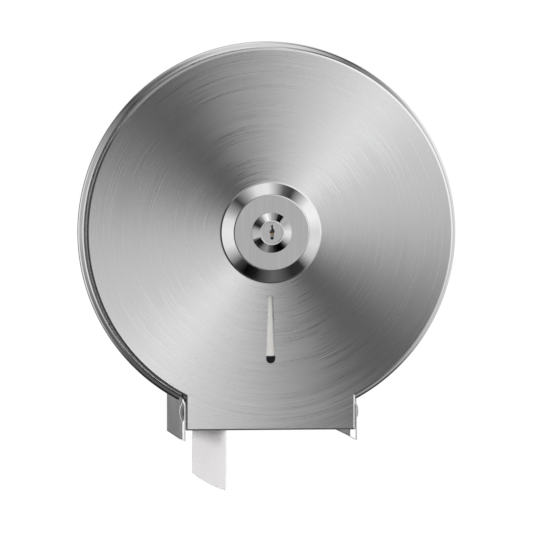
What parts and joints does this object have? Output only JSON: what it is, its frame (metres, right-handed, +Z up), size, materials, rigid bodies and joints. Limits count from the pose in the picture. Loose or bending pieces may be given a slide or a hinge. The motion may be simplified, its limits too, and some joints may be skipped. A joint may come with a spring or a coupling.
{
  "type": "jumbo toilet roll dispenser",
  "caption": "Round wall-mounted steel dispenser for a jumbo toilet roll, with a bottom-hinged cover, central key lock, level slot and tear edges at the throat.",
  "frame": {"origin": "centre of the back plate's rear face, on the spindle's axis and in the wall's plane", "axes": "+X to the right as seen from the front, +Y into the wall, +Z up"},
  "size_m": [0.27, 0.1262, 0.317],
  "materials": {
    "shell_steel": "satin stainless sheet",
    "rim_steel": "polished rolled edge",
    "back_steel": "mill finish stainless sheet",
    "plate_steel": "polished stainless plate",
    "rivet_steel": "polished stainless rivet",
    "post_steel": "turned steel tube",
    "washer_nylon": "natural nylon",
    "hub_plastic": "moulded black plastic",
    "retainer_steel": "zinc plated steel",
    "core_board": "grey brown spiral wound board",
    "tissue": "soft embossed tissue",
    "cover_steel": "circular brushed stainless sheet",
    "buffer_rubber": "soft black rubber",
    "knob_chrome": "polished bevel",
    "knob_face": "straight brushed face",
    "lock_chrome": "bright plated zinc",
    "nut_brass": "plain brass",
    "plug_face": "fine brushed plated zinc",
    "wafer_brass": "dull brass",
    "cam_steel": "zinc plated steel"
  },
  "bodies": {
    "housing": {"housing": "shell_steel", "rim_bead": "rim_steel", "back_plate": "back_steel", "tear_plate_right": "plate_steel", "tear_plate_left": "plate_steel", "hinge_rivet_right": "rivet_steel", "hinge_rivet_left": "rivet_steel", "spindle_post": "post_steel", "post_rivets": "rivet_steel", "striker_disc": "post_steel", "hub_washer": "washer_nylon", "hub_retainer": "retainer_steel", "cover_buffers": "buffer_rubber", "paper_tail": "tissue"},
    "cover": {"cover": "cover_steel", "knob_bevel": "knob_chrome", "knob_disc": "knob_face", "lock_barrel": "lock_chrome", "lock_rosette": "lock_chrome", "lock_washer": "retainer_steel", "lock_nut": "nut_brass"},
    "lock": {"lock_plug": "plug_face", "lock_wafers": "wafer_brass", "lock_cam": "cam_steel", "cam_screw": "cam_steel"},
    "roll": {"hub_sleeve": "hub_plastic", "roll_core": "core_board", "paper_roll": "tissue"}
  },
  "joints": [
    {"name": "cover_hinge", "type": "hinge", "parent": "housing", "child": "cover", "pos_m": [0, -0.1075, -0.127], "axis": [1, 0, 0], "range_deg": [0, 95], "deforming": ["paper_tail"]},
    {"name": "lock_turn", "type": "hinge", "parent": "cover", "child": "lock", "pos_m": [0, -0.12, 0], "axis": [0, 1, 0], "range_deg": [0, 90]},
    {"name": "roll_spin", "type": "hinge", "parent": "housing", "child": "roll", "pos_m": [0, -0.06, 0], "axis": [0, 1, 0], "continuous": true}
  ]
}
